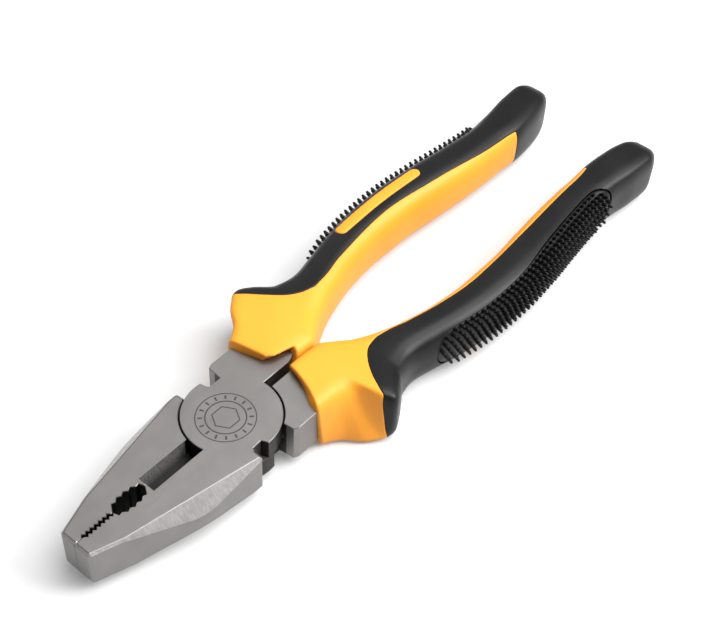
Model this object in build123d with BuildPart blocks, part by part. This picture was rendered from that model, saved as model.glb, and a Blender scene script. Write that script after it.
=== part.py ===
from build123d import *
from math import sqrt
import os

os.makedirs("parts", exist_ok=True)

# Combination (lineman's) pliers lying flat and closed, in millimetres.
# The origin is on the pivot axis, in the plane of the head's underside.
# -Y runs to the jaw tip, +Y along the handles, +Z is up.
# Both steel halves are one forging. The second is the first turned over about the long axis,
# so each half carries a jaw on one side of the pivot and a handle on the other.
# The grips are one moulding as well, and the right one is the left one turned over.

# Head
HEAD_T = 11.5                      # thickness of the steel head
MID = HEAD_T / 2                   # height of the lap faces
TURN_OVER = Axis((0, 0, MID), (0, 1, 0))
LAP_GAP = 0.1                      # running gap between the lap faces
DISC_R = 12.5                      # lap disc
DISC_GAP = 0.35                    # gap between a disc and the other half's shoulders
SEAM = 0.05                        # half the seam between the closed jaws
EDGE_BREAK = 0.15                  # chamfer where the faces are ground flat
TIP_BEVEL = 0.6                    # chamfer across the end of the jaws

# Jaw outline, drawn on the +X side
TIP_Y = -49.8
TIP_X = 4.7
BEND = (13.95, -22.5)              # where the sides start to taper
HEEL = (14.5, -4.3)
HEEL_INNER = (10.8, -4.1)
HEEL_CORNER = (-4.95, -4.5)        # y range of the short edges at the heel, left sharp

# Ground facets on the jaw's outer edges: (x, y) where each starts and ends on the face,
# and how far it slopes outward for each millimetre down
FACETS = {
    HEAD_T: ((13.8, -5.0), (6.3, -45.0), 0.7),
    0.0: ((14.1, -6.0), (6.4, -45.5), 1.0),
}

# Cutters between the disc and the pipe grip
CUTTER_END = -27.9
CUTTER_WALL_X = 2.5                # half the slot's width at the face
CUTTER_ROOT = (2.25, 0.9)          # where the cutting bevel starts: x, and height from MID

# Pipe grip and fine teeth
PIPE_Y = (-28.5, -38.3)
PIPE_MID_Y = -33.4
PIPE_REACH = 5.6                   # half length of the ellipse through the tooth roots
PIPE_DEPTH = 2.55
PIPE_TOOTH = 0.65
PIPE_PITCH = 2.0
FINE_Y = (-38.3, -47.0)
FINE_TEETH = 7
FINE_DEPTH = 0.75

# Stub and tang of the handle, drawn on the -X side
STUB_IN = 1.15
STUB_OUT = 14.8
STUB_SHOULDER_Y = 6.1
TANG_T = 8.0                       # thickness of the tang inside the grip
TANG_END = 142.0

# Rivet, ground flush on both faces
RIVET_R = 4.5
RIVET_HEAD_R = 5.3
RIVET_HEAD_T = 1.2
RIVET_RUN = 0.05                   # radial running gap in the half that turns on it

# Grips: y, inner x, outer x and height of each section, as distances from the long axis
GRIP_SECTIONS = [
    (13.5, 0.2, 14.2, 16.6),
    (20.0, 0.2, 18.0, 17.0),
    (26.0, 0.2, 24.0, 17.0),
    (29.5, 0.2, 26.4, 16.8),
    (33.0, 2.0, 24.0, 16.4),
    (38.0, 5.0, 21.8, 15.8),
    (44.0, 7.8, 21.4, 15.6),
    (52.0, 10.4, 22.8, 15.8),
    (61.0, 12.5, 24.8, 16.2),
    (73.0, 13.6, 26.5, 16.6),
    (85.0, 13.5, 27.0, 16.8),
    (99.0, 12.3, 26.2, 16.6),
    (112.0, 11.3, 24.7, 16.2),
    (124.0, 10.9, 23.7, 15.8),
    (133.0, 10.9, 24.0, 15.8),
    (142.0, 11.7, 25.0, 16.0),
    (149.0, 13.1, 25.3, 15.6),
    (153.0, 14.9, 24.0, 13.0),
    (154.2, 16.2, 22.6, 10.4),
]
GUARD_PEAK_Y = 29.5
GRIP_ROUND = 0.3                   # corner radius as a share of a section's smaller side
SLEEVE_T = 2.2                     # thickness of the black sleeve over the yellow core
CORE_END = 149.0

# Pill-shaped window in the sleeve, filled by the core
PILL_Y = (64.5, 95.6)
PILL_X = (21.2, 21.7)              # centre line at its ends and at its middle
PILL_W = 3.7

# Hollow in the front slope of the thumb guard
FLUTE_R = 5.0
FLUTE_CENTRE = (-20.4, 17.4)
FLUTE_DEPTH_Z = 4.0                # how far it runs past mid height

# Bristle pad on the outer side of each grip
PAD_Y = (52.5, 128.0)
PAD_Z = (-6.6, 3.6)                # from MID, on the left grip
PAD_ROOT = 1.2                     # depth of its seat in the sleeve
NUB_H = 1.9


def facet_plane(face_z):
    """The plane of the ground facet that starts on the face at height face_z."""
    start, end, slope = FACETS[face_z]
    down = -1 if face_z > MID else 1
    along = Vector(end[0] - start[0], end[1] - start[1], 0)
    outward = Vector(slope, 0, down)
    normal = along.cross(outward).normalized()
    if normal.X < 0:
        normal = -normal
    return Plane(origin=(start[0], start[1], face_z), x_dir=along, z_dir=normal)


def pipe_profile(shift):
    """Corner points of the pipe grip's coarse teeth, with the roots on an ellipse."""
    points = [(SEAM, PIPE_Y[0])]
    root_y = PIPE_Y[0] - 0.5 - shift
    while root_y > PIPE_Y[1] + 0.3:
        depth = PIPE_DEPTH * sqrt(1 - ((root_y - PIPE_MID_Y) / PIPE_REACH) ** 2)
        points.append((depth, root_y))
        ridge_y = root_y - PIPE_PITCH / 2
        if ridge_y > PIPE_Y[1] + 0.6:
            ridge = PIPE_DEPTH * sqrt(1 - ((ridge_y - PIPE_MID_Y) / PIPE_REACH) ** 2)
            points.append((ridge - PIPE_TOOTH, ridge_y))
        root_y -= PIPE_PITCH
    points.append((SEAM, PIPE_Y[1]))
    return points


def fine_profile(shift):
    """Corner points of the fine teeth near the tip."""
    pitch = (FINE_Y[0] - FINE_Y[1]) / FINE_TEETH
    points = []
    for tooth in range(FINE_TEETH):
        top = FINE_Y[0] - (tooth + shift) * pitch
        points += [(SEAM, top), (FINE_DEPTH, top - pitch / 2)]
    points.append((SEAM, FINE_Y[1] - shift * pitch))
    return points


def forging(pipe_shift, fine_shift):
    """The half with the right jaw, the upper lap disc and the left handle's tang."""
    with BuildPart() as half:
        # Jaw, full thickness
        with BuildSketch():
            with BuildLine():
                edge = FilletPolyline((SEAM, TIP_Y), (TIP_X, TIP_Y), BEND, HEEL, HEEL_INNER,
                                      radius=[1.0, 25.0, 0.8])
                Polyline(edge @ 1, (SEAM, -6.0), (SEAM, TIP_Y))
            make_face()
        extrude(amount=HEAD_T)
        chamfer(half.edges().filter_by(Axis.X).group_by(Axis.Y)[0], length=TIP_BEVEL)
        for face_z in FACETS:
            split(bisect_by=facet_plane(face_z), keep=Keep.BOTTOM)

        # Slot of the cutter, with its bevels meeting the other jaw's at mid thickness
        with BuildSketch(Plane.XZ.offset(-CUTTER_END)):
            with BuildLine():
                Polyline((SEAM, MID), (CUTTER_ROOT[0], MID + CUTTER_ROOT[1]),
                         (CUTTER_WALL_X, HEAD_T + 1), (-1, HEAD_T + 1), (-1, -1),
                         (CUTTER_WALL_X, -1), (CUTTER_ROOT[0], MID - CUTTER_ROOT[1]), close=True)
            make_face()
        extrude(amount=CUTTER_END + 6.0, mode=Mode.SUBTRACT)

        # Teeth, cut through the full thickness
        for profile in (pipe_profile(pipe_shift), fine_profile(fine_shift)):
            with BuildSketch():
                with BuildLine():
                    Polyline((-1, profile[0][1]), *profile, (-1, profile[-1][1]), close=True)
                make_face()
            extrude(amount=HEAD_T, mode=Mode.SUBTRACT)

        # Stub of the handle, full thickness
        with BuildSketch():
            with BuildLine():
                Polyline((-STUB_IN, 4.0), (-STUB_IN, 21.5), (-2.4, 25.5), (-6.0, 30.0), (-15.5, 26.0),
                         (-STUB_OUT, 18.0), (-STUB_OUT, 7.9), (-14.2, STUB_SHOULDER_Y + 0.5),
                         (-10.0, STUB_SHOULDER_Y), close=True)
            make_face()
        extrude(amount=HEAD_T)

        # Tang, thinner than the head
        with BuildSketch(Plane.XY.offset(MID - TANG_T / 2)):
            with BuildLine():
                inner = Spline((-4.0, 24.0), (-11.6, 42.0), (-16.6, 70.0), (-16.2, 95.0),
                               (-14.4, 120.0), (-16.2, TANG_END))
                outer = Spline((-21.0, TANG_END), (-20.2, 120.0), (-22.6, 95.0), (-22.6, 70.0),
                               (-17.6, 42.0), (-15.0, 24.0))
                Line(inner @ 1, outer @ 0)
                Line(outer @ 1, inner @ 0)
            make_face()
        extrude(amount=TANG_T)

        # Room for the other half's lap disc, then this half's own disc above it
        with BuildSketch():
            Circle(DISC_R + DISC_GAP)
        extrude(amount=MID + LAP_GAP / 2, mode=Mode.SUBTRACT)
        with BuildSketch(Plane.XY.offset(MID + LAP_GAP / 2)):
            Circle(DISC_R)
        extrude(amount=MID - LAP_GAP / 2)

        # Stop notches beside the disc
        with BuildSketch(Plane.XY.offset(MID)):
            with BuildLine():
                Polyline((10.7, -1.1), HEEL_INNER, HEEL, (16.0, 0.4), (12.6, -0.3), close=True)
            make_face()
            with BuildLine():
                Polyline((-10.0, STUB_SHOULDER_Y), (-10.0, 2.5), (-10.5, 2.1), (-12.4, 1.7),
                         (-16.0, 1.4), (-16.0, 6.8), (-14.2, STUB_SHOULDER_Y + 0.5), close=True)
            make_face()
        extrude(amount=MID, mode=Mode.SUBTRACT)

        # Edges broken where the underside and the top are ground, except in the corner of the heel
        for face_z in (0.0, HEAD_T):
            ground = half.edges().filter_by_position(Axis.Z, face_z, face_z)
            chamfer(ground - ground.filter_by_position(Axis.Y, *HEEL_CORNER), length=EDGE_BREAK)
    return half.part


def rivet_hole(gap):
    """The rivet's outline with a gap all round, as a solid to cut the hole with."""
    with BuildPart() as hole:
        with BuildSketch(Plane.XZ):
            with BuildLine():
                Polyline((0, 0), (RIVET_HEAD_R + gap, 0), (RIVET_R + gap, RIVET_HEAD_T),
                         (RIVET_R + gap, HEAD_T - RIVET_HEAD_T), (RIVET_HEAD_R + gap, HEAD_T),
                         (0, HEAD_T), close=True)
            make_face()
        revolve(axis=Axis.Z)
    return hole.part


def grip_form(inset, outward=0.0, first=0.0, last=200.0):
    """The left grip's outer form, drawn in by inset, or grown on the outer side only.

    The guard's front slope is straight from section to section, and the rest is one smooth skin.
    """
    kept = [section for section in GRIP_SECTIONS if first <= section[0] <= last]
    guard = [section for section in kept if section[0] <= GUARD_PEAK_Y]
    handle = [section for section in kept if section[0] >= GUARD_PEAK_Y]
    with BuildPart() as form:
        for stretch in (guard, handle):
            for y, x_in, x_out, height in stretch:
                width = x_out - x_in - 2 * inset + outward
                tall = height - 2 * inset
                with BuildSketch(Plane.XZ.offset(-y)):
                    with Locations((-(x_in + inset + width / 2), MID)):
                        RectangleRounded(width, tall, GRIP_ROUND * min(width, tall))
            loft(ruled=stretch is guard)
    return form.part


def sleeve_region():
    """The space that the black sleeve covers: more of the underside than of the top."""
    with BuildPart() as region:
        with BuildSketch(Plane.XY.offset(MID)):
            with BuildLine():
                side = Spline((-26.6, 28.6), (-19.0, 33.4), (-12.6, 42.5), (-15.2, 57.0), (-17.7, 79.0),
                              (-15.8, 99.0), (-12.9, 120.0), (-12.2, 131.0))
                Polyline(side @ 1, (-11.2, 132.5), (-8.0, 132.5), (-8.0, 160.0), (-40.0, 160.0),
                         (-40.0, 28.6), side @ 0)
            make_face()
        extrude(amount=20)
        with BuildSketch(Plane.XY.offset(MID)):
            with BuildLine():
                side = Spline((-26.2, 27.6), (-18.5, 30.7), (-9.9, 38.5), (-11.4, 51.0), (-14.9, 75.0),
                              (-13.6, 97.0), (-12.0, 125.0), (-12.2, 131.0))
                Polyline(side @ 1, (-11.2, 132.5), (-8.0, 132.5), (-8.0, 160.0), (-40.0, 160.0),
                         (-40.0, 27.6), side @ 0)
            make_face()
        extrude(amount=-20)
    return region.part


def pill_prism():
    """A column over the pill-shaped window, from mid height up."""
    middle = (PILL_Y[0] + PILL_Y[1]) / 2
    with BuildPart() as pill:
        with BuildSketch(Plane.XY.offset(MID)):
            with BuildLine():
                ThreePointArc((-PILL_X[0], PILL_Y[0]), (-PILL_X[1], middle), (-PILL_X[0], PILL_Y[1]))
            trace(line_width=PILL_W)
            with Locations((-PILL_X[0], PILL_Y[0]), (-PILL_X[0], PILL_Y[1])):
                Circle(PILL_W / 2)
        extrude(amount=20)
    return pill.part


# The half with the right jaw and the left handle; the rivet is pressed into it
with BuildPart() as right_jaw_half:
    add(forging(pipe_shift=0.8, fine_shift=0.0))
    add(rivet_hole(0), mode=Mode.SUBTRACT)
right_jaw_half.part.label = "right_jaw_half"
export_step(right_jaw_half.part, "parts/right_jaw_half.step")

# The half with the left jaw and the right handle; it turns on the rivet
with BuildPart() as left_jaw_half:
    add(forging(pipe_shift=0.0, fine_shift=0.5).rotate(TURN_OVER, 180))
    add(rivet_hole(RIVET_RUN), mode=Mode.SUBTRACT)
left_jaw_half.part.label = "left_jaw_half"
export_step(left_jaw_half.part, "parts/left_jaw_half.step")

with BuildPart() as pivot_rivet:
    add(rivet_hole(0))
pivot_rivet.part.label = "pivot_rivet"
export_step(pivot_rivet.part, "parts/pivot_rivet.step")

# Left grip, face with the pill window up
sleeve_space = sleeve_region()
core_form = grip_form(SLEEVE_T, first=20.0, last=CORE_END)

# The raised boss of the core that fills the sleeve's window
with BuildPart() as window_boss:
    add(pill_prism())
    add(grip_form(0), mode=Mode.INTERSECT)

with BuildPart() as grip_core_left:
    add(grip_form(0))
    # The front edge, stepped back beside the other handle
    with BuildSketch():
        with BuildLine():
            Polyline((2.0, 10.0), (2.0, 24.6), (-2.4, 24.6), (-3.7, 19.0), (-5.2, 17.3), (-15.2, 15.3),
                     (-20.0, 12.0), (-20.0, 10.0), close=True)
        make_face()
    extrude(amount=60, both=True, mode=Mode.SUBTRACT)
    # The hollow in the front slope, open at the window side and closed towards the other
    with BuildSketch(Plane.XY.offset(MID - FLUTE_DEPTH_Z)):
        with Locations(FLUTE_CENTRE):
            Circle(FLUTE_R)
    extrude(amount=40, mode=Mode.SUBTRACT)
    add(sleeve_space, mode=Mode.SUBTRACT)
    add(core_form)
    add(window_boss.part)
    add(right_jaw_half.part, mode=Mode.SUBTRACT)
grip_core_left.part.label = "grip_core_left"
export_step(grip_core_left.part, "parts/grip_core_left.step")

with BuildPart() as bristle_pad_left:
    add(grip_form(0, outward=NUB_H))
    with BuildSketch(Plane.YZ.offset(-60)):
        with Locations(((PAD_Y[0] + PAD_Y[1]) / 2, MID + (PAD_Z[0] + PAD_Z[1]) / 2)):
            SlotOverall(PAD_Y[1] - PAD_Y[0], PAD_Z[1] - PAD_Z[0])
    extrude(amount=60 - 17, mode=Mode.INTERSECT)
    add(grip_form(PAD_ROOT), mode=Mode.SUBTRACT)
bristle_pad_left.part.label = "bristle_pad_left"
export_step(bristle_pad_left.part, "parts/bristle_pad_left.step")

with BuildPart() as grip_sleeve_left:
    add(grip_form(0))
    add(sleeve_space, mode=Mode.INTERSECT)
    add(core_form, mode=Mode.SUBTRACT)
    add(pill_prism(), mode=Mode.SUBTRACT)
    add(bristle_pad_left.part, mode=Mode.SUBTRACT)
grip_sleeve_left.part.label = "grip_sleeve_left"
export_step(grip_sleeve_left.part, "parts/grip_sleeve_left.step")

# Right grip: the same three pieces turned over
for name, left_piece in (("grip_core_right", grip_core_left), ("bristle_pad_right", bristle_pad_left),
                         ("grip_sleeve_right", grip_sleeve_left)):
    with BuildPart() as right_piece:
        add(left_piece.part.rotate(TURN_OVER, 180))
    right_piece.part.label = name
    export_step(right_piece.part, f"parts/{name}.step")
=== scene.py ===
import math

import bmesh
import bpy
import numpy as np
from mathutils import Matrix, Vector
from mathutils.kdtree import KDTree


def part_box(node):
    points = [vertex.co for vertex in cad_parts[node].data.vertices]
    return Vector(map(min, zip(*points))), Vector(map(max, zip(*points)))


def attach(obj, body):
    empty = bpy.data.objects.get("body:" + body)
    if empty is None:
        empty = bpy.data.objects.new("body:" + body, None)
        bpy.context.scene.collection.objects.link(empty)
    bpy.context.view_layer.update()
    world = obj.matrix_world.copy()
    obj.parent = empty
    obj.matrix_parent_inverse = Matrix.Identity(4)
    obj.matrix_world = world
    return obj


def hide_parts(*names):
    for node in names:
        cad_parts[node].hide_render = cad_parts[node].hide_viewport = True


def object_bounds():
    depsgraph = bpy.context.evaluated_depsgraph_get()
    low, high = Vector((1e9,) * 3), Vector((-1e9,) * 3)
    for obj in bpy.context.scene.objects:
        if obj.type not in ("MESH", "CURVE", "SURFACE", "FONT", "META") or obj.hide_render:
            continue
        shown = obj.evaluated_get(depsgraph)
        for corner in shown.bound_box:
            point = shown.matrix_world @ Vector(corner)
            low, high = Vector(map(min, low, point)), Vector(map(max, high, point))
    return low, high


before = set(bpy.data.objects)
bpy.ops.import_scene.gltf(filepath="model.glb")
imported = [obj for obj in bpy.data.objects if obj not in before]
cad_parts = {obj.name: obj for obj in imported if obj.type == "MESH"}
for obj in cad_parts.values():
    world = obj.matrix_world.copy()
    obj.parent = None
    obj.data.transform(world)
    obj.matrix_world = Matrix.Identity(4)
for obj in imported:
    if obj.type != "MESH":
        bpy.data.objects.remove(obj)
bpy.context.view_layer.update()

# Shapes are worked out in millimetres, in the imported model's frame, and scaled when a mesh is made.
# X is across the handles, +Y runs to their ends, +Z is up, and MID is the height of the lap faces.
MM = 0.001
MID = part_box("pivot_rivet")[1][2] / MM / 2

# Left grip: y, inner x, outer x and height of each section, as distances from the long axis
SECTIONS = np.array([
    (29.5, 0.2, 27.5, 16.8),
    (33.0, 2.0, 26.0, 16.4),
    (38.0, 5.0, 22.5, 15.8),
    (44.0, 7.8, 21.4, 15.6),
    (52.0, 10.4, 22.8, 15.8),
    (61.0, 12.5, 24.8, 16.2),
    (73.0, 13.6, 26.5, 16.6),
    (85.0, 13.5, 27.0, 16.8),
    (99.0, 12.3, 26.2, 16.6),
    (112.0, 11.3, 24.7, 16.2),
    (124.0, 10.9, 23.7, 15.8),
    (133.0, 10.9, 24.0, 15.8),
    (142.0, 11.7, 25.0, 16.0),
    (149.0, 13.1, 25.3, 15.6),
    (153.0, 14.9, 24.0, 13.0),
    (154.2, 16.2, 22.6, 10.4),
])
# The guard ahead of them: inner x, height at each y, and the outer x at each y on the top and on the
# underside, where the front slope is further back
GUARD_INNER = 0.2
GUARD_HEIGHT = ((13.5, 16.6), (20.0, 17.0), (26.0, 17.0))
SLOPE_TOP = ((13.0, 16.1), (15.0, 16.3), (16.0, 16.7), (18.3, 18.2), (20.3, 20.0), (21.6, 21.9),
             (22.9, 23.9), (25.4, 26.2), (28.4, 27.4))
SLOPE_UNDER = ((13.0, 15.3), (21.0, 15.5), (23.4, 16.0), (24.9, 17.0), (25.8, 18.8), (26.4, 21.2),
               (27.1, 24.2), (28.4, 27.0))
# How square the section is at each y: 2 is an ellipse, and more is squarer
SQUARENESS = ((13.0, 6.5), (29.0, 6.5), (38.0, 3.4), (50.0, 2.7), (125.0, 2.7), (136.0, 3.6),
              (154.2, 4.2))

# Front edge of the grip round the steel: |x| and y on the top and on the underside
FRONT_TOP = ((0.0, 24.6), (2.4, 24.6), (3.7, 19.0), (5.2, 17.3), (15.2, 15.3), (20.0, 14.8))
FRONT_UNDER = ((0.0, 19.3), (1.2, 19.3), (4.0, 18.6), (7.0, 17.7), (10.0, 16.5), (13.0, 15.0),
               (16.0, 13.8))

# Edge between yellow and black, |x| and y: along the guard's crest, then along the handle
CREST_TOP = ((12.5, 44.0), (13.3, 40.6), (15.4, 36.8), (19.0, 33.2), (22.8, 30.0), (24.8, 28.5))
CREST_SIDE = ((1.62, 27.5), (1.8, 27.1), (2.25, 27.1))      # place round the section, and y
CREST_UNDER = ((23.0, 28.2), (18.5, 30.5), (13.9, 34.0), (11.4, 37.4), (10.5, 41.5))
ALONG_TOP = ((12.5, 44.0), (13.2, 49.0), (15.0, 57.0), (17.2, 79.0), (15.4, 99.0), (12.9, 120.0),
             (12.4, 129.0), (12.0, 132.5))
ALONG_UNDER = ((10.5, 41.5), (11.0, 46.0), (12.8, 52.0), (16.6, 75.0), (15.6, 97.0), (14.0, 120.0),
               (13.6, 129.0), (13.0, 132.5))
YELLOW_END = 132.5
GRIP_END = 154.2

# Pill-shaped window and the boss in it, as rings: share of the way out to the rim, and height
PILL_SPINE = ((-21.2, 64.5), (-21.7, 80.0), (-21.2, 95.6))
PILL_HALF = 1.85
PILL_GAP = 0.06
PILL_RINGS = ((0, 0.3), (0.25, 0.3), (0.5, 0.3), (0.7, 0.3), (0.82, 0.28), (0.9, 0.22), (0.96, 0.1),
              (1, -0.15), (1, -1.5))
PILL_CUT = (3, 15)                             # bottom and top of the window's cutter, above MID

# Bristle pad and its nubs
PAD_ENDS = (52.0, 130.5)
PAD_HALF = 7.0
PAD_NEAR_TOP = ((51.0, 1.60), (132.0, 1.56))   # y, and place round the section
PAD_NEAR_UNDER = ((51.0, 2.51), (70.0, 2.55), (82.0, 2.60), (102.0, 2.75), (132.0, 2.77))
PAD_GAP = 0.22
PAD_RINGS = ((0, -0.12), (0.2, -0.12), (0.4, -0.12), (0.6, -0.12), (0.8, -0.12), (0.9, -0.12),
             (0.95, -0.16), (0.98, -0.25), (1, -0.45))
PAD_BOTTOM = -1.1
SEAT_REACH = 2                                 # how far the seat's cutter goes out and in
SEAT_RINGS = tuple((share, SEAT_REACH) for share in (0, 0.2, 0.4, 0.6, 0.8, 0.9, 1))
NUB_PITCH = 1.98
NUB_ROWS = 8
# Height and radius of each ring of a nub, and its tip
NUB_PROFILE = ((-0.5, 0.55), (0.1, 0.53), (0.8, 0.46), (1.35, 0.40), (1.6, 0.26), (1.7, 0.0))
NUB_SIDES = 10
NUB_SHORTEST = 0.3                             # share of the full height
NUB_FROM_END = 1.1                             # from the pad's end to the first nub
NUB_FROM_RIM = 0.8
ROW_FROM_RIM = 1.0
NUB_TOP = 8.5                                  # furthest from MID that a nub reaches up or down

SHELL = 1.2                                    # thickness of the moulded skins
SEAM_ROUND = 0.25
LIP_ROUND = 0.6
LIP_DEPTH = 3.2                                # from the skin to the steel at the front edge
LIP_SHARES = (1, 0.6, 0.3)
FRONT_POINTS = 260
SHARP = 40                                     # degrees between faces at a sharp edge
# Size and lift of each ring that closes the tail
TAIL_CAP = ((0.93, 0.22), (0.8, 0.4), (0.5, 0.55), (0.15, 0.6))


# ---- Curves ----

def through(points, at):
    """A smooth curve through the points (x, y) that never overshoots them, at the places given."""
    x, y = np.array(points, float).T
    step = np.diff(x)
    rise = np.diff(y) / step
    slope = np.zeros_like(y)
    slope[0], slope[-1] = rise[0], rise[-1]
    near, far = 2 * step[1:] + step[:-1], step[1:] + 2 * step[:-1]
    turning = rise[:-1] * rise[1:] <= 0
    safe_a, safe_b = np.where(turning, 1, rise[:-1]), np.where(turning, 1, rise[1:])
    slope[1:-1] = np.where(turning, 0, (near + far) / (near / safe_a + far / safe_b))
    at = np.asarray(at, float)
    cell = np.clip(np.searchsorted(x, at) - 1, 0, len(step) - 1)
    u = np.clip((at - x[cell]) / step[cell], 0, 1)
    h = step[cell]
    return ((1 + 2 * u) * (1 - u) ** 2 * y[cell] + u * (1 - u) ** 2 * h * slope[cell]
            + u * u * (3 - 2 * u) * y[cell + 1] + u * u * (u - 1) * h * slope[cell + 1])


def route(points, spacing):
    """A smooth open curve through the points, evenly spaced: an array of the places on it."""
    points = np.array(points, float)
    length = np.concatenate([[0], np.cumsum(np.linalg.norm(np.diff(points, axis=0), axis=1))])
    count = max(int(length[-1] / spacing), 2)
    at = np.linspace(0, length[-1], count + 1)
    return np.stack([through(np.stack([length, points[:, k]], 1), at) for k in range(2)], 1)


# ---- The left grip's skin ----

def section(y, level):
    """Inner x, outer x, half height and squareness of the section at y, at a level from -1 to 1."""
    head = [(y0, GUARD_INNER) for y0, _ in GUARD_HEIGHT]
    inner = through(head + [(s[0], s[1]) for s in SECTIONS], y)
    half = through(list(GUARD_HEIGHT) + [(s[0], s[3]) for s in SECTIONS], y) / 2
    back = [(s[0], s[2]) for s in SECTIONS]
    top = through(list(SLOPE_TOP) + back, y)
    under = through(list(SLOPE_UNDER) + back, y)
    outer = under + (top - under) * (1 + level) / 2
    return inner, outer, half, through(SQUARENESS, y)


def skin(y, t):
    """The place on the skin at y and t, where t goes once round the section from 0 to 4.

    It is 0 at the middle of the inner side, 1 on the top, 2 on the outer side and 3 underneath.
    """
    y, t = np.broadcast_arrays(np.asarray(y, float), np.asarray(t, float))
    place = np.mod(t + 0.5, 4)
    side = np.floor(place)
    along = 2 * (place - side) - 1
    across = np.choose(side.astype(int), [-np.ones_like(y), along, np.ones_like(y), -along])
    up = np.choose(side.astype(int), [along, np.ones_like(y), -along, -np.ones_like(y)])
    inner, outer, half, power = section(y, 0)
    shrink = (np.abs(across) ** power + np.abs(up) ** power) ** (-1 / power)
    inner, outer, half, power = section(y, up * shrink)
    x = (inner + outer) / 2 + (outer - inner) / 2 * across * shrink
    return np.stack([-x, y, MID + half * up * shrink], -1)


def drawn_in(y, t, depth):
    """The place of the skin when every side of the section is drawn in by a depth."""
    place = skin(y, t)
    half = section(y, 0)[2]
    inner, outer = section(y, (place[..., 2] - MID) / half)[:2]
    middle, wide = -(inner + outer) / 2, (outer - inner) / 2
    x = middle + (place[..., 0] - middle) * (1 - depth / wide)
    return np.stack([x, place[..., 1], MID + (place[..., 2] - MID) * (1 - depth / half)], -1)


def skin_normal(y, t):
    """The outward normal of the skin."""
    d = 1e-3
    along = skin(np.asarray(y) + d, t) - skin(np.asarray(y) - d, t)
    around = skin(y, np.asarray(t) + d) - skin(y, np.asarray(t) - d)
    normal = np.cross(along, around)
    return normal / np.linalg.norm(normal, axis=-1, keepdims=True)


def round_place(x, y, face):
    """The t of the point of the top (face 1) or underside (face -1) at |x| and y."""
    inner, outer, _, power = section(y, face)
    u = np.clip((x - (inner + outer) / 2) / ((outer - inner) / 2), -0.999, 0.999)
    share = np.abs(u) ** power
    on_face = np.sign(u) * np.minimum((share / (1 - share)) ** (1 / power), 1)
    down_side = 1 - np.minimum(np.maximum(1 / np.maximum(share, 1e-9) - 1, 0) ** (1 / power), 1)
    t = 1 + (on_face + np.sign(u) * down_side * (share > 0.5)) / 2
    return t if face > 0 else 4 - t


def top_level(x, y):
    """Height of the top of the skin over |x|, y."""
    inner, outer, half, power = section(y, 1)
    u = np.clip(np.abs((x - (inner + outer) / 2) / ((outer - inner) / 2)), 0, 0.999)
    return MID + half * (1 - u ** power) ** (1 / power)


def front_edge(t):
    """The y where the grip starts, for each t."""
    low, high = np.full_like(t, 12.0), np.full_like(t, 27.0)
    for _ in range(40):
        y = (low + high) / 2
        place = skin(y, t)
        level = np.clip((place[..., 2] - MID) / 8, -1, 1)
        top = np.interp(-place[..., 0], *np.array(FRONT_TOP).T)
        under = np.interp(-place[..., 0], *np.array(FRONT_UNDER).T)
        ahead = y < under + (top - under) * (1 + level) / 2
        low, high = np.where(ahead, y, low), np.where(ahead, high, y)
    return y


def plan_edge(points, face, spacing):
    """An edge drawn on the top or underside, as an array of (y, t)."""
    plan = route(points, spacing)
    return np.stack([plan[:, 1], round_place(plan[:, 0], plan[:, 1], face)], 1)


def close_places(edge, spacing=0.04):
    """Places along an edge of (y, t), at most the spacing apart."""
    place = skin(edge[:, 0], edge[:, 1])
    length = np.concatenate([[0], np.cumsum(np.linalg.norm(np.diff(place, axis=0), axis=1))])
    at = np.linspace(0, length[-1], int(length[-1] / spacing) + 2)
    return skin(np.interp(at, length, edge[:, 0]), np.interp(at, length, edge[:, 1]))


def fine_ends(count, length, first=True, last=True):
    """Shares from 0 to 1, close together near the ends that are rounded."""
    close = np.array([0.0, 0.05, 0.12, 0.2, 0.32]) / length
    even = np.linspace(0, 1, count)
    shares = even[(even > close[-1] * 1.6) & (even < 1 - close[-1] * 1.6)]
    front = close if first else [0.0]
    back = 1 - close[::-1] if last else [1.0]
    return np.concatenate([front, shares, back])


def at_shares(edge, shares):
    """The points of an edge at shares of the way along it."""
    places = np.linspace(0, 1, len(edge))
    return np.stack([np.interp(shares, places, edge[:, k]) for k in range(2)], 1)


def patch(front, back, left, right, rows, columns):
    """A grid of (y, t) between four edges. left and right run from front to back."""
    s, v = rows[:, None, None], columns[None, :, None]
    f, b = at_shares(front, columns)[None], at_shares(back, columns)[None]
    le, ri = at_shares(left, rows)[:, None], at_shares(right, rows)[:, None]
    corners = ((1 - s) * (1 - v) * front[0] + (1 - s) * v * front[-1]
               + s * (1 - v) * back[0] + s * v * back[-1])
    return (1 - s) * f + s * b + (1 - v) * le + v * ri - corners


# ---- Meshes ----

def new_object(name, vertices, faces):
    """A smooth-shaded mesh object from vertices in millimetres."""
    mesh = bpy.data.meshes.new(name)
    mesh.from_pydata([tuple(v) for v in np.asarray(vertices) * MM], [], faces)
    mesh.update()
    mesh.polygons.foreach_set("use_smooth", [True] * len(mesh.polygons))
    obj = bpy.data.objects.new(name, mesh)
    bpy.context.scene.collection.objects.link(obj)
    return obj


def grid_faces(rows, columns, start=0, closed=False):
    """Quads between the vertices of a grid, joined round to the first column if closed."""
    faces = []
    for r in range(rows - 1):
        for c in range(columns if closed else columns - 1):
            n = (c + 1) % columns
            a, b = start + r * columns, start + (r + 1) * columns
            faces.append((a + c, a + n, b + n, b + c))
    return faces


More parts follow.
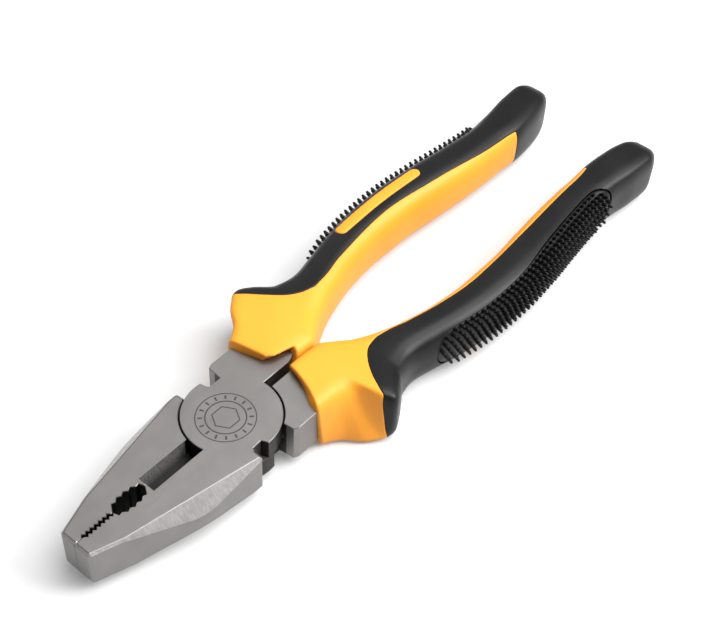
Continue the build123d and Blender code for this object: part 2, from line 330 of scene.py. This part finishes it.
def eased(places, normals, rim, radius):
    """The places with the skin rounded off towards a rim, as a moulded edge is."""
    tree = KDTree(len(rim))
    for index, point in enumerate(rim):
        tree.insert(point, index)
    tree.balance()
    flat = places.reshape(-1, 3)
    away = np.array([tree.find(point)[2] for point in flat])
    short = np.maximum(radius - away, 0)
    depth = radius - np.sqrt(np.maximum(radius * radius - short * short, 0))
    return places - normals * depth.reshape(places.shape[:-1] + (1,))


def finish_mesh(obj, weld=0.02, sharp=SHARP):
    """Joins the patches of a mesh and turns its faces outwards."""
    shape = bmesh.new()
    shape.from_mesh(obj.data)
    bmesh.ops.remove_doubles(shape, verts=shape.verts, dist=weld * MM)
    bmesh.ops.recalc_face_normals(shape, faces=shape.faces)
    shape.to_mesh(obj.data)
    shape.free()
    obj.data.set_sharp_from_angle(angle=math.radians(sharp))


def face_out(obj):
    """Turns the faces of an open grip skin away from the middle of the grip."""
    count = len(obj.data.polygons)
    centres, normals, areas = np.empty(count * 3), np.empty(count * 3), np.empty(count)
    obj.data.polygons.foreach_get("center", centres)
    obj.data.polygons.foreach_get("normal", normals)
    obj.data.polygons.foreach_get("area", areas)
    centres = centres.reshape(-1, 3) / MM
    inner, outer = section(centres[:, 1], 0)[:2]
    middles = np.stack([-(inner + outer) / 2, centres[:, 1], np.full(count, MID)], 1)
    outward = ((centres - middles) * normals.reshape(-1, 3)).sum(axis=1)
    if (outward * areas).sum() < 0:
        obj.data.flip_normals()


def thicken(obj, thickness):
    """Gives a skin its thickness, inwards."""
    face_out(obj)
    solid = obj.modifiers.new("thickness", "SOLIDIFY")
    solid.thickness = thickness * MM
    solid.offset = -1
    apply_modifiers(obj)


def apply_modifiers(obj):
    """Replaces the mesh with its evaluated one."""
    graph = bpy.context.evaluated_depsgraph_get()
    graph.update()
    mesh = bpy.data.meshes.new_from_object(obj.evaluated_get(graph))
    obj.modifiers.clear()
    obj.data = mesh


def cut(obj, cutter):
    """Cuts a closed mesh out of another, and removes the cutter."""
    trim = obj.modifiers.new("cut", "BOOLEAN")
    trim.operation = "DIFFERENCE"
    trim.solver = "EXACT"
    trim.object = cutter
    apply_modifiers(obj)
    bpy.data.objects.remove(cutter)


def stadium(spine, half, cap_steps=12):
    """Outline round a spine in the plane, with the spine's nearest point for each outline point."""
    spine = np.asarray(spine, float)
    along = np.gradient(spine, axis=0)
    along /= np.linalg.norm(along, axis=1, keepdims=True)
    aside = np.stack([-along[:, 1], along[:, 0]], 1)
    feet, rim = list(spine), list(spine + half * aside)
    for step in range(1, cap_steps):
        turn = math.pi * step / cap_steps
        feet.append(spine[-1])
        rim.append(spine[-1] + half * (math.cos(turn) * aside[-1] + math.sin(turn) * along[-1]))
    feet += list(spine[::-1])
    rim += list((spine - half * aside)[::-1])
    for step in range(1, cap_steps):
        turn = math.pi * step / cap_steps
        feet.append(spine[0])
        rim.append(spine[0] - half * (math.cos(turn) * aside[0] + math.sin(turn) * along[0]))
    return np.array(feet), np.array(rim)


def stadium_patch(spine, half, shares):
    """Rings of a filled stadium, from its spine to its outline."""
    feet, rim = stadium(spine, half)
    return np.stack([feet + share * (rim - feet) for share in shares])


def prism(name, outline, bottom, top):
    """A closed prism over an outline."""
    count = len(outline)
    vertices = [(x, y, z) for z in (bottom, top) for x, y in outline]
    faces = grid_faces(2, count, closed=True)
    faces += [tuple(range(count)), tuple(range(count, 2 * count))]
    obj = new_object(name, vertices, faces)
    finish_mesh(obj)
    return obj


def turned_over(obj, name):
    """The right grip's copy of a left grip piece: turned half a turn about the long axis."""
    mesh = obj.data.copy()
    mesh.name = name
    vertices = np.empty(len(mesh.vertices) * 3)
    mesh.vertices.foreach_get("co", vertices)
    vertices = vertices.reshape(-1, 3) * (-1, 1, -1) + (0, 0, 2 * MID * MM)
    mesh.vertices.foreach_set("co", vertices.ravel())
    mesh.update()
    twin = bpy.data.objects.new(name, mesh)
    bpy.context.scene.collection.objects.link(twin)
    return twin


# ---- Grip pieces ----

def crest_edge():
    """The front edge of the black sleeve, over the guard's crest: an array of (y, t)."""
    top = plan_edge(CREST_TOP, 1, 0.8)
    under = plan_edge(CREST_UNDER, -1, 0.8)
    points = [tuple(p[::-1]) for p in top] + list(CREST_SIDE) + [tuple(p[::-1]) for p in under]
    places = np.linspace(points[0][0], points[-1][0], 120)
    return np.stack([through(points, places), places], 1)


def edge_across(y, start, end, count=40):
    """A straight edge round the section at y, from t = start to t = end."""
    return np.stack([np.full(count, y), np.linspace(start, end, count)], 1)


crest = crest_edge()
along_top = plan_edge(ALONG_TOP, 1, 0.5)
along_under = plan_edge(ALONG_UNDER, -1, 0.5)
# The inner strip of the yellow ends across the grip, with rounded corners
end_top, end_under = along_top[-1, 1], along_under[-1, 1]
behind_under = along_under - (0, 4)
yellow_end = edge_across(YELLOW_END, end_top, behind_under[-1, 1])
yellow_end[0], yellow_end[-1] = along_top[-1], behind_under[-1]
seams = (crest, along_top, along_under, yellow_end)
seam_places = np.concatenate([close_places(edge) for edge in seams])


def front_line(start, end):
    """The front edge from t = start to t = end, as an array of (y, t)."""
    t = np.linspace(start, end, FRONT_POINTS)
    return np.stack([front_edge(t), t], 1)


def between(start, end, count=30):
    """A straight run of (y, t) from one point to another."""
    return np.linspace(start, end, count)


def rounded_at_seams(grid):
    """Places of a patch, rounded off where the colours meet."""
    places = skin(grid[..., 0], grid[..., 1])
    return eased(places, skin_normal(grid[..., 0], grid[..., 1]), seam_places, SEAM_ROUND)


def with_lip(grid, rim):
    """Places of a patch that starts at the front edge, with the lip that closes on the steel."""
    places = skin(grid[..., 0], grid[..., 1])
    normals = skin_normal(grid[..., 0], grid[..., 1])
    places = eased(places, normals, rim, LIP_ROUND)
    places = eased(places, normals, seam_places, SEAM_ROUND)
    lip = [drawn_in(grid[0, :, 0], grid[0, :, 1], LIP_DEPTH * share) for share in LIP_SHARES]
    return np.concatenate([lip, places])


def make_core():
    """The yellow part of the left grip: guard, inner strip and lip."""
    guard_front = front_line(along_top[0, 1], along_under[0, 1])
    strip_front = front_line(along_top[0, 1], behind_under[0, 1])
    front_rim = np.concatenate([close_places(guard_front), close_places(strip_front)])
    middle = between(along_top[0], behind_under[0], FRONT_POINTS)
    # The rows are closest together in the first twentieth, where the lip is rounded
    rows = fine_ends(70, 24)
    rows = np.concatenate([fine_ends(8, 9.6, last=False) * 0.05, rows[rows > 0.06]])
    guard = patch(guard_front, crest, between(guard_front[0], crest[0]),
                  between(guard_front[-1], crest[-1]), rows, np.linspace(0, 1, 110))
    lead = patch(strip_front, middle, between(strip_front[0], along_top[0]),
                 between(strip_front[-1], behind_under[0]), rows, fine_ends(90, 39))
    rear = patch(middle, yellow_end, along_top, behind_under,
                 fine_ends(190, 95, first=False), fine_ends(90, 30))
    vertices, faces = [], []
    for places in (with_lip(guard, front_rim), with_lip(lead, front_rim), rounded_at_seams(rear)):
        faces += grid_faces(*places.shape[:2], start=sum(len(v) for v in vertices))
        vertices.append(places.reshape(-1, 3))
    obj = new_object("grip_core_left_moulded", np.concatenate(vertices), faces)
    finish_mesh(obj)
    thicken(obj, SHELL)
    return obj


def make_sleeve():
    """The black sleeve of the left grip, with the window and the pad's seat cut out."""
    back = edge_across(YELLOW_END, end_top, end_under)
    back[0], back[-1] = along_top[-1], along_under[-1]
    outer_columns = fine_ends(120, 42)
    rows = fine_ends(190, 95, last=False)
    main = rounded_at_seams(patch(crest, back, along_top, along_under, rows, outer_columns))
    vertices, faces = [main.reshape(-1, 3)], grid_faces(*main.shape[:2])

    # Tail, all round. Its first ring follows the end of the main part, then the end of the yellow.
    inner_columns = fine_ends(60, 24)[1:-1]
    ring = np.concatenate([at_shares(back, outer_columns), at_shares(yellow_end, 1 - inner_columns)])
    ring[len(outer_columns):, 1] += 4
    reach = np.sin(fine_ends(44, 22, last=False)[:, None] * math.pi / 2)
    y = ring[None, :, 0] * (1 - reach) + GRIP_END * reach
    t = np.broadcast_to(ring[None, :, 1], y.shape)
    tail = rounded_at_seams(np.stack([y, t], -1))
    middle = tail[-1].mean(axis=0)
    caps = [middle + (tail[-1] - middle) * size + np.array([0, lift, 0]) for size, lift in TAIL_CAP]
    tail = np.concatenate([tail, caps])
    start = len(vertices[0])
    faces += grid_faces(*tail.shape[:2], start=start, closed=True)
    vertices.append(tail.reshape(-1, 3))
    last = start + (len(tail) - 1) * tail.shape[1]
    faces.append(tuple(range(last, last + tail.shape[1])))

    obj = new_object("grip_sleeve_left_moulded", np.concatenate(vertices), faces)
    finish_mesh(obj)
    thicken(obj, SHELL)
    pill_rim = stadium(route(PILL_SPINE, 1.0), PILL_HALF)[1]
    cut(obj, prism("pill_cutter", pill_rim, MID + PILL_CUT[0], MID + PILL_CUT[1]))
    seat_cutter = new_object("pad_cutter", *pad_sheets(PAD_HALF + PAD_GAP, SEAT_RINGS, -SEAT_REACH))
    finish_mesh(seat_cutter)
    cut(obj, seat_cutter)
    obj.data.set_sharp_from_angle(angle=math.radians(SHARP))
    return obj


def make_pill():
    """The yellow boss that fills the window, standing a little proud."""
    shares, proud = np.array(PILL_RINGS).T
    rings = stadium_patch(route(PILL_SPINE, 1.0), PILL_HALF - PILL_GAP, shares)
    height = top_level(-rings[..., 0], rings[..., 1]) + proud[:, None]
    places = np.concatenate([rings, height[..., None]], axis=-1)
    faces = grid_faces(*places.shape[:2], closed=True)
    total = places.shape[0] * places.shape[1]
    faces.append(tuple(range(total - places.shape[1], total)))
    obj = new_object("pill_boss_left", places.reshape(-1, 3), faces)
    finish_mesh(obj)
    return obj


def pad_spine():
    """Spine of the bristle pad, as y and distance across the pad."""
    return route(((PAD_ENDS[0] + PAD_HALF, 0), (PAD_ENDS[1] - PAD_HALF, 0)), 0.8)


def on_pad(y, across_pad):
    """The t of a point of the pad, which is wrapped over the outer side of the grip."""
    near_top, near_under = through(PAD_NEAR_TOP, y), through(PAD_NEAR_UNDER, y)
    return near_top + (near_under - near_top) * (across_pad + PAD_HALF) / (2 * PAD_HALF)


def pad_sheets(half, rings, bottom):
    """Vertices and faces of a closed pad that follows the skin: rings out to its rim, then back below."""
    shares, lifts = np.array(rings, float).T
    spread_out = stadium_patch(pad_spine(), half, shares)
    y, t = spread_out[..., 0], on_pad(spread_out[..., 0], spread_out[..., 1])
    places, normals = skin(y, t), skin_normal(y, t)
    upper = places + normals * lifts[:, None, None]
    places = np.concatenate([upper, (places + normals * bottom)[::-1]])
    return places.reshape(-1, 3), grid_faces(*places.shape[:2], closed=True)


def nub_places(foot, out):
    """Vertices of one nub that stands on foot and points out: its rings, then its tip."""
    side = np.cross(out, (0, 1, 0))
    side /= np.linalg.norm(side)
    other = np.cross(out, side)
    tip = NUB_PROFILE[-1][0]
    room = (NUB_TOP - abs(foot[2] - MID)) / max(abs(out[2]) * tip, 0.01)
    short = min(max(room, NUB_SHORTEST), 1)
    places = []
    for height, radius in NUB_PROFILE[:-1]:
        for corner in range(NUB_SIDES):
            turn = 2 * math.pi * corner / NUB_SIDES
            round_it = math.cos(turn) * side + math.sin(turn) * other
            places.append(foot + out * height * short + radius * round_it)
    places.append(foot + out * tip * short)
    return np.array(places)


def nub_faces(start):
    """Faces of one nub whose first vertex is start."""
    rings = len(NUB_PROFILE) - 1
    top = start + (rings - 1) * NUB_SIDES
    faces = grid_faces(rings, NUB_SIDES, start=start, closed=True)
    faces += [(top + c, top + (c + 1) % NUB_SIDES, top + NUB_SIDES) for c in range(NUB_SIDES)]
    faces.append(tuple(start + c for c in range(NUB_SIDES - 1, -1, -1)))
    return faces


def make_pad():
    """The bristle pad: its base in the seat, and staggered rows of tapered nubs."""
    base, faces = pad_sheets(PAD_HALF, PAD_RINGS, PAD_BOTTOM)
    vertices = [base]
    start = len(base)
    row_pitch = 2 * (PAD_HALF - ROW_FROM_RIM) / (NUB_ROWS - 1)
    steps = math.ceil((PAD_ENDS[1] - PAD_ENDS[0]) / NUB_PITCH)
    first, last = PAD_ENDS[0] + PAD_HALF, PAD_ENDS[1] - PAD_HALF
    for row in range(NUB_ROWS):
        across_pad = (row - (NUB_ROWS - 1) / 2) * row_pitch
        for step in range(steps):
            y = PAD_ENDS[0] + NUB_FROM_END + (step + 0.5 * (row % 2)) * NUB_PITCH
            past = max(first - y, y - last, 0)
            if math.hypot(past, across_pad) > PAD_HALF - NUB_FROM_RIM:
                continue
            t = on_pad(y, across_pad)
            nub = nub_places(skin(y, t), skin_normal(y, t))
            faces += nub_faces(start)
            vertices.append(nub)
            start += len(nub)
    obj = new_object("bristle_pad_left_moulded", np.concatenate(vertices), faces)
    finish_mesh(obj, weld=0.001, sharp=60)
    return obj


# ---- Materials ----

# Colour ramps, as (position, colour) stops, and plain colours
YELLOW = ((0.3, (0.74, 0.276, 0.018)), (0.7, (0.77, 0.300, 0.024)))
STEEL = ((0.3, (0.222, 0.214, 0.208)), (0.7, (0.250, 0.241, 0.234)))
STEEL_FACET = ((0.35, (0.40, 0.387, 0.382)), (0.65, (0.52, 0.505, 0.50)))
# Painted light: a much brighter coarse grey for the slot's upright walls, which lie in shade
STEEL_COARSE_PAINTED_LIGHT = ((0.36, (0.62, 0.61, 0.60)), (0.60, (1.0, 0.98, 0.96)))
# Painted shade: a darker base for the broken edges, dimming the highlight the lights put along them
STEEL_EDGE_PAINTED_SHADE = (0.15, 0.145, 0.141)
# Painted shade: near-black for the cutting bevels at the shaded bottom of the slot
STEEL_BEVEL_PAINTED_SHADE = (0.007, 0.007, 0.007)
# Partly painted shade: dark for the rough teeth and for the shaded recesses round the lap discs and
# notches
STEEL_DARK_AND_SHADE = (0.030, 0.028, 0.027)
STEEL_MARK = (0.085, 0.082, 0.079)

# Places on the steel head. Levels are distances up or down from MID.
TIP_FACE = -48.8                               # the jaws' end face is ahead of this y
FACE_LEVEL = 5.59                              # the broken edges of the faces are past this level
FACET_START = 4.5                              # the facets are further out than this |x|
SLOT_HALF, SLOT_LEVEL, SLOT_ENDS = 2.46, 5.6, (-27.8, -5.9)
TEETH_HALF, TEETH_ENDS = 3.4, (-47.8, -27.9)
DISC_WALL, DISC_WALL_HALF = 12.0, 1.6
MARK_CENTRE = (-0.3, -1.7)
MARK_LEVEL = 11.3                              # height that only the upper face is over
MARK_OUTER, MARK_INNER = (7.4, 0.15), (5.0, 0.18)      # radius and half width of each ring
MARK_TICKS = (6.2, 0.6)
TICK_COUNT, TICK_HALF_ANGLE = 16, 0.04
HEXAGON = (3.0, 0.16)

def shader(name):
    """A new material: its node tree, its main shader and its texture coordinates."""
    mat = bpy.data.materials.new(name)
    mat.use_nodes = True
    nodes = mat.node_tree.nodes
    return mat, mat.node_tree, nodes["Principled BSDF"], nodes.new("ShaderNodeTexCoord")


def noise(tree, vector, scale, detail=3.0, stretch=(1, 1, 1)):
    """Noise over a vector, with about so many grains to the metre."""
    mapping = tree.nodes.new("ShaderNodeMapping")
    mapping.inputs["Scale"].default_value = stretch
    tree.links.new(vector, mapping.inputs["Vector"])
    grain = tree.nodes.new("ShaderNodeTexNoise")
    grain.inputs["Scale"].default_value = scale
    grain.inputs["Detail"].default_value = detail
    tree.links.new(mapping.outputs["Vector"], grain.inputs["Vector"])
    return grain.outputs["Fac"]


def ramp(tree, value, stops):
    """A colour ramp over a value, from (position, colour) stops."""
    node = tree.nodes.new("ShaderNodeValToRGB")
    elements = node.color_ramp.elements
    while len(elements) < len(stops):
        elements.new(0.5)
    for element, (position, colour) in zip(elements, stops):
        element.position = position
        element.color = (*colour, 1)
    tree.links.new(value, node.inputs["Fac"])
    return node.outputs["Color"]


def spread(tree, value, low, high):
    """A value from 0 to 1 mapped to low to high."""
    node = tree.nodes.new("ShaderNodeMapRange")
    node.inputs["To Min"].default_value = low
    node.inputs["To Max"].default_value = high
    tree.links.new(value, node.inputs["Value"])
    return node.outputs["Result"]


def maths(tree, operation, *values):
    """A maths node of one or two values, each a number or a socket."""
    node = tree.nodes.new("ShaderNodeMath")
    node.operation = operation
    for index, value in enumerate(values):
        if isinstance(value, (int, float)):
            node.inputs[index].default_value = value
        else:
            tree.links.new(value, node.inputs[index])
    return node.outputs[0]


def is_over(tree, value, limit):
    """1 where a value is over a limit."""
    return maths(tree, "GREATER_THAN", value, limit)


def is_under(tree, value, limit):
    """1 where a value is under a limit."""
    return maths(tree, "LESS_THAN", value, limit)


def is_near(tree, value, middle, half):
    """1 where a value is nearer the middle than half."""
    return is_under(tree, maths(tree, "ABSOLUTE", maths(tree, "SUBTRACT", value, middle)), half)


def all_of(tree, *shares):
    """1 where every share is 1."""
    total = shares[0]
    for share in shares[1:]:
        total = maths(tree, "MULTIPLY", total, share)
    return total


def any_of(tree, *shares):
    """1 where any share is 1."""
    total = shares[0]
    for share in shares[1:]:
        total = maths(tree, "MAXIMUM", total, share)
    return total


def length_of(tree, x, y):
    """The distance of (x, y) from the origin."""
    squares = maths(tree, "ADD", maths(tree, "MULTIPLY", x, x), maths(tree, "MULTIPLY", y, y))
    return maths(tree, "SQRT", squares)


def mixed(tree, share, low, high):
    """Two colours mixed by a share. Each colour is a tuple or a socket."""
    node = tree.nodes.new("ShaderNodeMix")
    node.data_type = "RGBA"
    tree.links.new(share, node.inputs["Factor"])
    for index, colour in ((6, low), (7, high)):
        if isinstance(colour, tuple):
            node.inputs[index].default_value = (*colour, 1)
        else:
            tree.links.new(colour, node.inputs[index])
    return node.outputs[2]


def bump(tree, principled, height, strength, distance):
    """Fine relief under the highlights."""
    node = tree.nodes.new("ShaderNodeBump")
    node.inputs["Strength"].default_value = strength
    node.inputs["Distance"].default_value = distance
    tree.links.new(height, node.inputs["Height"])
    tree.links.new(node.outputs["Normal"], principled.inputs["Normal"])


def yellow_plastic():
    """Satin yellow plastic."""
    mat, tree, principled, coords = shader("yellow_plastic_moulded")
    cloud = noise(tree, coords.outputs["Object"], 60, 2)
    tree.links.new(ramp(tree, cloud, YELLOW), principled.inputs["Base Color"])
    tree.links.new(spread(tree, cloud, 0.42, 0.52), principled.inputs["Roughness"])
    principled.inputs["Specular IOR Level"].default_value = 0.3
    bump(tree, principled, noise(tree, coords.outputs["Object"], 2500, 2), 0.25, 0.00005)
    return mat


def black_rubber(name, rough, dark):
    """Black rubber of a roughness and a darkness."""
    mat, tree, principled, coords = shader(name)
    cloud = noise(tree, coords.outputs["Object"], 90, 3)
    stops = ((0.3, (dark, dark, dark * 1.05)), (0.7, (dark * 1.4, dark * 1.4, dark * 1.5)))
    tree.links.new(ramp(tree, cloud, stops), principled.inputs["Base Color"])
    tree.links.new(spread(tree, cloud, rough - 0.04, rough + 0.06), principled.inputs["Roughness"])
    principled.inputs["Specular IOR Level"].default_value = 0.17
    bump(tree, principled, noise(tree, coords.outputs["Object"], 3000, 2), 0.35, 0.00006)
    return mat


def steel(name, with_mark):
    """Ground steel: satin faces, bright cross-ground facets, coarse cutters and a darker mark, with
    painted light and painted shade in the cutter's slot, painted shade on the broken edges and partly
    painted shade on the unground walls.
    """
    mat, tree, principled, coords = shader(name)
    place = coords.outputs["Object"]
    split = tree.nodes.new("ShaderNodeSeparateXYZ")
    tree.links.new(coords.outputs["Normal"], split.inputs["Vector"])
    at = tree.nodes.new("ShaderNodeSeparateXYZ")
    tree.links.new(place, at.inputs["Vector"])
    facing_up = maths(tree, "ABSOLUTE", split.outputs["Z"])
    x = maths(tree, "ABSOLUTE", at.outputs["X"])
    level = maths(tree, "ABSOLUTE", maths(tree, "SUBTRACT", at.outputs["Z"], MID * MM))

    tip = is_under(tree, at.outputs["Y"], TIP_FACE * MM)
    edge = all_of(tree, is_over(tree, level, FACE_LEVEL * MM), is_under(tree, facing_up, 0.97))
    broken = all_of(tree, edge, maths(tree, "SUBTRACT", 1.0, tip))
    leans = all_of(tree, is_over(tree, facing_up, 0.45), is_under(tree, facing_up, 0.8))
    wide = all_of(tree, is_over(tree, x, FACET_START * MM), maths(tree, "SUBTRACT", 1.0, edge))
    facet = all_of(tree, leans, any_of(tree, wide, tip))

    cloud = noise(tree, place, 120, 4)
    fine = noise(tree, place, 2200, 4)
    brushed = noise(tree, place, 900, 3, stretch=(1, 0.12, 1))
    crossed = noise(tree, place, 1800, 4, stretch=(0.35, 1, 0.35))
    colour = mixed(tree, facet, ramp(tree, cloud, STEEL), ramp(tree, crossed, STEEL_FACET))
    # Painted shade on the broken edges: a darker base that dims their highlight
    colour = mixed(tree, broken, colour, STEEL_EDGE_PAINTED_SHADE)
    # Painted light and painted shade in the cutter's slot: brighter upright walls, near-black bevels
    colour = mixed(tree, slot_share(tree, at, x, level), colour, slot_painted_light_and_shade(tree, fine, split))
    # Dark unground walls, partly painted shade in the recesses round the discs and notches
    colour = mixed(tree, unground_dark_and_shade_share(tree, at, x, facing_up), colour, STEEL_DARK_AND_SHADE)
    if with_mark:
        colour = mixed(tree, mark_share(tree, at), colour, STEEL_MARK)
    tree.links.new(colour, principled.inputs["Base Color"])
    principled.inputs["Metallic"].default_value = 1.0
    tree.links.new(spread(tree, brushed, 0.36, 0.48), principled.inputs["Roughness"])
    ground = maths(tree, "MULTIPLY", crossed, facet)
    relief = maths(tree, "ADD", ground, maths(tree, "MULTIPLY", fine, 0.5))
    bump(tree, principled, relief, 0.3, 0.00004)
    return mat


def slot_share(tree, at, x, level):
    """1 on the walls of the cutter's slot."""
    back, front = SLOT_ENDS[1] * MM, SLOT_ENDS[0] * MM
    return all_of(tree, is_under(tree, x, SLOT_HALF * MM), is_under(tree, level, SLOT_LEVEL * MM),
                  is_over(tree, at.outputs["Y"], front), is_under(tree, at.outputs["Y"], back))


def slot_painted_light_and_shade(tree, fine, split):
    """Coarse grey on the upright walls of the slot, brightened as painted light because they lie in
    shade, and near-black painted shade on the cutting bevels at the slot's bottom.
    """
    upright = is_over(tree, maths(tree, "ABSOLUTE", split.outputs["X"]), 0.7)
    return mixed(tree, upright, STEEL_BEVEL_PAINTED_SHADE, ramp(tree, fine, STEEL_COARSE_PAINTED_LIGHT))


def unground_dark_and_shade_share(tree, at, x, facing_up):
    """1 on the walls that aren't ground: the teeth, and round the lap discs and their notches. Their dark
    colour is partly the rough unground steel and partly painted shade for these recesses.
    """
    teeth = all_of(tree, is_under(tree, x, TEETH_HALF * MM),
                   is_under(tree, at.outputs["Y"], TEETH_ENDS[1] * MM),
                   is_over(tree, at.outputs["Y"], TEETH_ENDS[0] * MM))
    discs = is_near(tree, length_of(tree, x, at.outputs["Y"]), DISC_WALL * MM, DISC_WALL_HALF * MM)
    return all_of(tree, is_under(tree, facing_up, 0.5), any_of(tree, teeth, discs))


def mark_share(tree, at):
    """An etched mark of rings, ticks and a hexagon: 1 on its lines, on the upper face only."""
    x = maths(tree, "SUBTRACT", at.outputs["X"], MARK_CENTRE[0] * MM)
    y = maths(tree, "SUBTRACT", at.outputs["Y"], MARK_CENTRE[1] * MM)
    reach = length_of(tree, x, y)
    turn = maths(tree, "ADD", maths(tree, "ARCTAN2", y, x), math.tau)

    def ring(radius, half):
        """1 on a ring round the middle of the mark."""
        return is_near(tree, reach, radius * MM, half * MM)

    tick_turn = maths(tree, "PINGPONG", turn, math.pi / TICK_COUNT)
    ticks = all_of(tree, is_under(tree, tick_turn, TICK_HALF_ANGLE), ring(*MARK_TICKS))
    wedge = maths(tree, "PINGPONG", turn, math.pi / 6)
    flat = maths(tree, "MULTIPLY", reach, maths(tree, "COSINE", wedge))
    hexagon = is_near(tree, flat, HEXAGON[0] * MM, HEXAGON[1] * MM)
    marks = any_of(tree, ring(*MARK_OUTER), ring(*MARK_INNER), ticks, hexagon)
    return all_of(tree, marks, is_over(tree, at.outputs["Z"], MARK_LEVEL * MM))


# ---- Assembly ----

def dress(obj, mat):
    """Gives an object its one material."""
    obj.data.materials.clear()
    obj.data.materials.append(mat)


yellow = yellow_plastic()
sleeve_black = black_rubber("black_sleeve_rubber_moulded", 0.34, 0.006)
pad_black = black_rubber("black_pad_rubber_moulded", 0.28, 0.005)

core = make_core()
pill = make_pill()
sleeve = make_sleeve()
pad = make_pad()
LEFT_PIECES = (
    (core, "grip_core", yellow, "yellow_plastic", True),
    (pill, "pill_boss", yellow, "yellow_plastic", False),
    (sleeve, "grip_sleeve", sleeve_black, "black_sleeve_rubber", True),
    (pad, "bristle_pad", pad_black, "black_pad_rubber", True),
)
for left, stem, mat, slot_name, stands_in in LEFT_PIECES:
    right = turned_over(left, left.name.replace("left", "right"))
    for piece, side, body in ((left, "left", "fixed_half"), (right, "right", "moving_half")):
        dress(piece, mat)
        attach(piece, body)
        if stands_in:
            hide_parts(f"{stem}_{side}")

marked_steel = steel("forged_steel_marked", True)
plain_steel = steel("forged_steel_ground", False)
STEEL_NODES = (
    ("right_jaw_half", marked_steel),
    ("left_jaw_half", plain_steel),
    ("pivot_rivet", marked_steel),
)
for node, mat in STEEL_NODES:
    for material_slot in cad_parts[node].material_slots:
        material_slot.link = "OBJECT"
        material_slot.material = mat


# ---- Floor, light and camera ----

FLOOR_GAP = 0.02                               # from the lowest point of the grips to the floor
FLOOR_HALF = 3000
LIGHT_TARGET = (0, 0.05, 0)
# Name, place and size in metres, and power in watts
LIGHTS = (
    ("overhead", (0.22, 0.30, 0.86), 0.9, 15),
    ("back_right", (0.60, 0.50, 0.55), 0.48, 8.5),
    ("left_fill", (-0.60, 0.35, 0.50), 0.6, 0.6),
)
# The camera, in metres and degrees: tilted up from straight down, and turned from the long axis
CAMERA_PLACE = (0.14966, -0.14327, 0.27030)
CAMERA_TURN = 38.084
CAMERA_TILT = 42.845
CAMERA_ROLL = 3.313
CAMERA_LENS = 68.49


def make_floor():
    """A wide pale floor just under the grips."""
    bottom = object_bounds()[0][2] / MM - FLOOR_GAP
    corners = [(x * FLOOR_HALF, y * FLOOR_HALF, bottom) for x, y in ((-1, -1), (1, -1), (1, 1), (-1, 1))]
    floor = new_object("floor", corners, [(0, 1, 2, 3)])
    mat, _, principled, _ = shader("floor_white")
    principled.inputs["Base Color"].default_value = (0.52, 0.52, 0.52, 1)
    principled.inputs["Roughness"].default_value = 0.9
    principled.inputs["Specular IOR Level"].default_value = 0.1
    principled.inputs["Emission Color"].default_value = (1, 1, 1, 1)
    principled.inputs["Emission Strength"].default_value = 0.15
    dress(floor, mat)


def area_light(name, place, size, power):
    """A round soft light that points at the middle of the object."""
    light = bpy.data.lights.new(name, "AREA")
    light.shape = "DISK"
    light.size = size
    light.energy = power
    lamp = bpy.data.objects.new(name, light)
    lamp.location = place
    lamp.rotation_euler = (Vector(LIGHT_TARGET) - Vector(place)).to_track_quat("-Z", "Y").to_euler()
    bpy.context.scene.collection.objects.link(lamp)


def make_camera():
    """The camera: from the front right, looking down."""
    camera = bpy.data.objects.new("camera", bpy.data.cameras.new("camera"))
    camera.data.lens = CAMERA_LENS
    camera.data.sensor_width = 36.0
    camera.data.clip_start = 0.01
    camera.matrix_world = (Matrix.Translation(CAMERA_PLACE)
                           @ Matrix.Rotation(math.radians(CAMERA_TURN), 4, "Z")
                           @ Matrix.Rotation(math.radians(CAMERA_TILT), 4, "X")
                           @ Matrix.Rotation(math.radians(CAMERA_ROLL), 4, "Z"))
    bpy.context.scene.collection.objects.link(camera)
    bpy.context.scene.camera = camera


def make_world():
    """Even white light from all round."""
    world = bpy.data.worlds.new("studio")
    world.use_nodes = True
    background = world.node_tree.nodes["Background"]
    background.inputs["Color"].default_value = (1, 1, 1, 1)
    background.inputs["Strength"].default_value = 0.36
    bpy.context.scene.world = world


make_floor()
make_world()
for light_values in LIGHTS:
    area_light(*light_values)
make_camera()
bpy.context.scene.view_settings.view_transform = "Standard"
